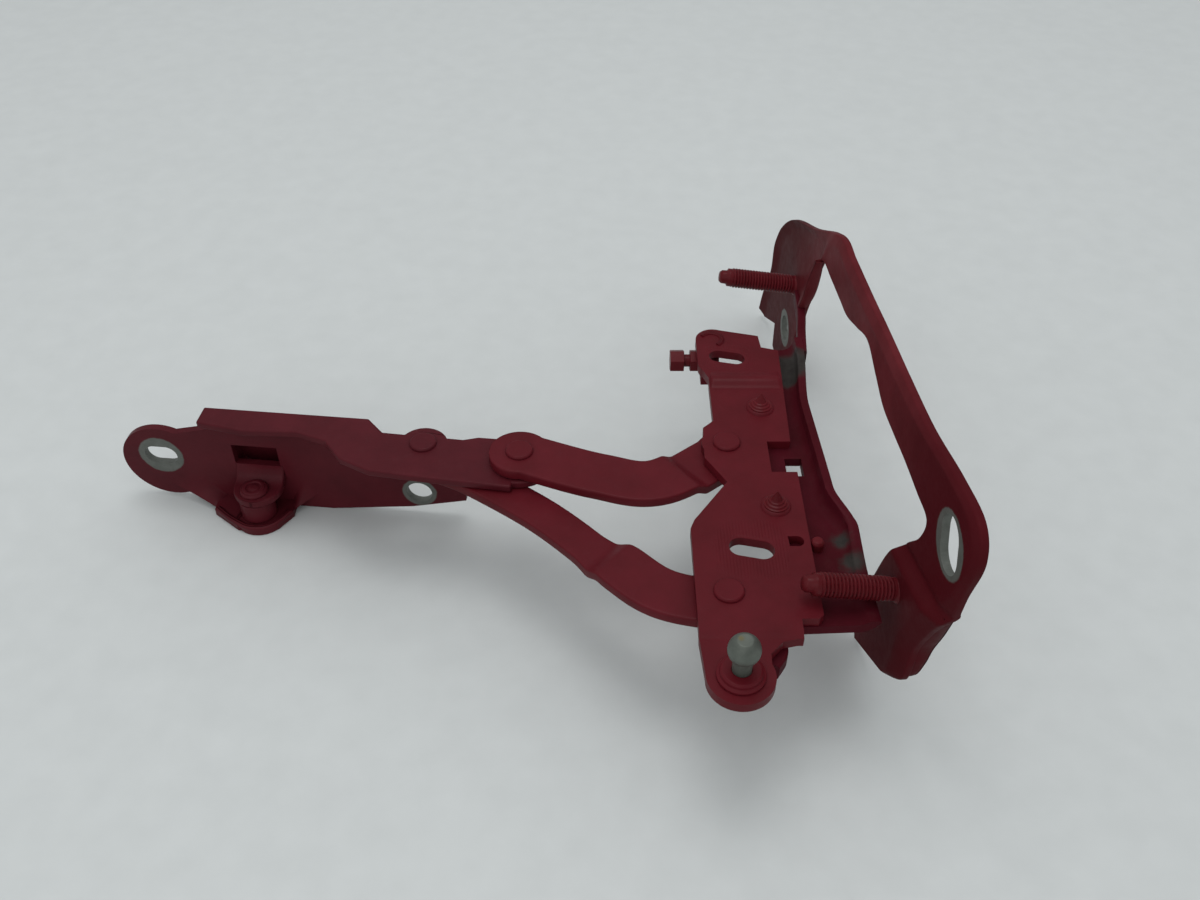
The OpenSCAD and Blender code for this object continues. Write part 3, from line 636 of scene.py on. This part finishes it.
def ear_bend():
    """The bend where the ear rises from the plate: a ramp of smooth steps up from the plate and back down to
    the ear, closed below inside the plate."""
    foot_y, head_y, run = 82.5, 87.6, 4.6
    x = np.r_[-7.2, -6.8, np.linspace(-6, 18, 9), 18.8, 19.2]
    y = np.linspace(foot_y, 92.5, 30)
    top = 0.03 + 1.9 * smooth((y - foot_y) / run) - 0.86 * smooth((y - head_y) / run)
    ends = smooth(np.minimum(x + 7.4, 19.4 - x) / 0.8)[:, None]
    skin = np.stack([x[:, None] + 0 * y, y + 0 * x[:, None], top * (0.75 + 0.25 * ends)], axis=-1)
    base = skin[:, ::-1].copy()
    base[..., 2] = -0.5
    obj = rings("ear_bend", np.concatenate([skin, base], axis=1), "body_side", plate_paint)


ear_bend()


def arm_point(x, y, z):
    """A point of the bonnet arm's frame: x along the arm, y through its upright, z up."""
    c, w = math.cos(ARM_TURN), math.sin(ARM_TURN)
    return np.stack([ARM_AT[0] + x * c - y * w, ARM_AT[1] + x * w + y * c, z], axis=-1)


def tab_pressing():
    """The lanced tab: level, with a half-oval front, and turned up at its root by a quarter of an ellipse."""
    level, bend_from, nose_from, nose = -37.0, -6.0, -5.5, 9.4
    a = np.linspace(0, np.pi / 2, 24)
    root = np.stack([bend_from + 5.7 * np.sin(a), level + 6.4 * (1 - np.cos(a))], axis=1)
    front = nose_from - nose * np.cos(np.linspace(0.06, 1.5, 24))
    line = np.vstack([np.stack([front, 0 * front + level], axis=1), root])
    way = np.gradient(line, axis=0)
    way /= np.linalg.norm(way, axis=1)[:, None]
    normal = np.stack([way[:, 1], -way[:, 0]], axis=1)
    half = 9.5 * np.sqrt(1 - np.clip((nose_from - line[:, 0]) / nose, 0, 1) ** 2)
    flat, down = band(np.stack([-half, 0 * half], 1), np.stack([half, 0 * half], 1), 3.0, 0.7, across=16)
    y = line[:, :1] + normal[:, :1] * down
    z = line[:, 1:] + normal[:, 1:] * down
    obj = rings("catch_tab_pressing", arm_point(flat[..., 0] - 1.5, y, z), "bonnet_side", arm_paint)
    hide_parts("catch_tab")


def tab_pocket():
    """The pocket drawn behind the tab's window: a tray with round corners, |cos| and |sin| to the power 0.4,
    open towards the window."""
    loop = squarish(64, 0.4)
    inside = [(9.0, 7.6, 8.6), (9.6, 8.2, 7.6), (10.2, 8.8, 2.95)]
    outside = [(11.6, 10.2, 2.95), (11.2, 9.8, 8.6), (10.2, 8.8, 9.8)]
    mid_x, mid_z = -2.0, -28.9
    x, z = loop[:, 0], loop[:, 1]
    grid = np.stack([arm_point(mid_x + x * w, 0 * x + y, mid_z + z * h) for w, h, y in inside + outside])
    obj = rings("catch_tab_pocket", grid, "bonnet_side", arm_paint)


def lip_flare(name, start, end, reach):
    """The upright's lower edge swept out to the lip's corner: at a share q of the way the sheet reaches out
    by q to the power 1.3, and from top to bottom its place goes out with the square of the drop."""
    q = np.linspace(0.03, 1, 30)[:, None]
    v = np.linspace(0, 1, 14)[None]
    x = start + (end - start) * q + 0 * v
    out = -reach * q ** 1.3 * v ** 2
    z = -44.5 - 6.0 * q + (2.0 + 7.0 * np.sin(np.pi * q)) * (1 - v)
    front = arm_point(x, out + 0.0, z)
    back = arm_point(x, out + 2.2, z)
    obj = rings(name, np.concatenate([front, back[:, ::-1]], axis=1), "bonnet_side", arm_paint)


tab_pressing()
tab_pocket()
lip_flare("lip_flare_left", -41.0, -18.6, 7.6)
lip_flare("lip_flare_right", 20.0, 9.2, 6.0)


def disc(name, profile, at, body, material):
    """A small turned piece on a pivot or screw, from its (radius, height) profile."""
    obj = rings(name, turned(profile) + np.asarray(at, float), body, material)


SCREW_RING = [(3.1, -0.3), (3.1, 0.7), (3.4, 1.0), (4.4, 1.0), (5.0, 0.5), (5.3, -0.3)]
SCREW_CONE = [(4.2, 0.6), (4.2, 1.5), (3.7, 1.7), (3.4, 2.3), (2.8, 2.5), (2.5, 3.1), (2.0, 3.3), (1.7, 3.9),
              (0.2, 7.0)]
PIN_RINGS = [(0.4, 0.3), (1.6, 0.3), (1.9, 0.05), (2.8, 0.05), (3.1, 0.35), (4.0, 0.35), (4.4, 0.1),
             (4.6, -0.4)]
disc("upper_screw_ring", SCREW_RING, UPPER_SCREW, "body_side", plate_paint)
disc("lower_screw_ring", SCREW_RING, LOWER_SCREW, "body_side", plate_paint)
disc("upper_screw_thread", SCREW_CONE, UPPER_SCREW, "body_side", stud_paint)
disc("lower_screw_thread", SCREW_CONE, LOWER_SCREW, "body_side", stud_paint)
disc("catch_pin_rings", PIN_RINGS, CATCH_PIN_TOP, "bonnet_side", arm_paint)


# Serrations round the fixing slots
def serrations(name, centre, z, half, ridge, turn):
    """Fine ridges along Y round a slot: height ridge times |sin(pi x / spacing)|, fading to the rim of a
    round-cornered patch. The grid runs from the slot's edge out to the rim."""
    spacing = 1.05
    hole = oval(16.2, 9.2, turn, 420)
    rim = squarish(420, 0.7) * np.array(half)
    v = np.linspace(0, 1, 60)[:, None, None]
    flat = hole[None] * (1 - v) + rim[None] * v
    fade = smooth(v[..., 0] / 0.08) * smooth((1 - v[..., 0]) / 0.35)
    up = ridge * fade * np.abs(np.sin(np.pi * flat[..., 0] / spacing)) + 0.015
    skin = np.concatenate([flat + np.array(centre), (z + up)[..., None]], axis=2)
    base = skin[::-1].copy()
    base[..., 2] = z - 0.3
    grid = np.concatenate([skin, base, skin[:1]])
    n, m = grid.shape[:2]
    faces = (np.array(tube_faces(n, m, False)) % ((n - 1) * m)).tolist()
    obj = finish_mesh(name, grid[:-1].reshape(-1, 3), faces, "body_side", plate_paint, 80)


serrations("lower_slot_serrations", (0.0, 0.0), 0.0, (12.5, 14.5), 0.12, SLOT_TURN)
serrations("upper_slot_serrations", UPPER_SLOT, 1.0, (10.5, 8.5), 0.07, SLOT_TURN)


# Table, light and camera
def table_top():
    """A pale table far wider than the part, lying just under it."""
    mat, tree, shader, place = start("pale_laminate_table")
    fleck = add(tree, "ShaderNodeTexNoise", {"Scale": 90.0, "Detail": 5.0}, Vector=place)
    tones = {"data_type": "RGBA", 6: linear("#b4b7b6"), 7: linear("#bdc0bf")}
    colour = add(tree, "ShaderNodeMix", tones, _0=fleck.outputs[0])
    tree.links.new(colour.outputs[2], shader.inputs["Base Color"])
    shader.inputs["Roughness"].default_value = 0.55
    mesh = bpy.data.meshes.new("table")
    far, z = TABLE_REACH, FLOOR_Z * MM
    corners = [(-far, -far, z), (far, -far, z), (far, far, z), (-far, far, z)]
    mesh.from_pydata(corners, [], [(0, 1, 2, 3)])
    obj = bpy.data.objects.new("table", mesh)
    bpy.context.scene.collection.objects.link(obj)
    mesh.materials.append(mat)


def lamp(name, at, aim, size, power):
    """A square soft box that shines from one point towards another."""
    light = bpy.data.lights.new(name, "AREA")
    light.size = size
    light.energy = power
    obj = bpy.data.objects.new(name, light)
    bpy.context.scene.collection.objects.link(obj)
    obj.location = at
    aim_z = np.array(at) - np.array(aim)
    obj.rotation_mode = "QUATERNION"
    obj.rotation_quaternion = Vector(aim_z).to_track_quat("Z", "Y")


def sky(strength):
    """Even pale light from all round, dimmer where it is only mirrored in paint."""
    world = bpy.data.worlds.new("soft_room")
    world.use_nodes = True
    back = world.node_tree.nodes["Background"]
    back.inputs["Color"].default_value = linear("#e9ecee")
    path = add(world.node_tree, "ShaderNodeLightPath")
    mirrored = path.outputs["Is Glossy Ray"]
    level = add(world.node_tree, "ShaderNodeMapRange", {3: strength, 4: 0.35 * strength}, _0=mirrored)
    world.node_tree.links.new(level.outputs[0], back.inputs["Strength"])
    bpy.context.scene.world = world


def photo_camera():
    """The photograph's camera: level across, looking down 42 degrees."""
    cam = bpy.data.cameras.new("camera")
    cam.lens = 34.5
    cam.sensor_width = 36.0
    cam.clip_start = 0.01
    obj = bpy.data.objects.new("camera", cam)
    bpy.context.scene.collection.objects.link(obj)
    obj.location = CAMERA_AT
    obj.rotation_euler = (math.pi / 2 - CAMERA_DOWN, 0, 0)
    bpy.context.scene.camera = obj


table_top()
lamp("ceiling_panel", (-0.1, 0.22, 1.25), (-0.08, 0.05, 0.0), 0.6, 3.8)
lamp("front_fill", (-0.6, -0.9, 0.8), (-0.05, 0.05, 0.0), 0.8, 1.2)
sky(1.14)
photo_camera()
bpy.context.scene.view_settings.view_transform = "Standard"
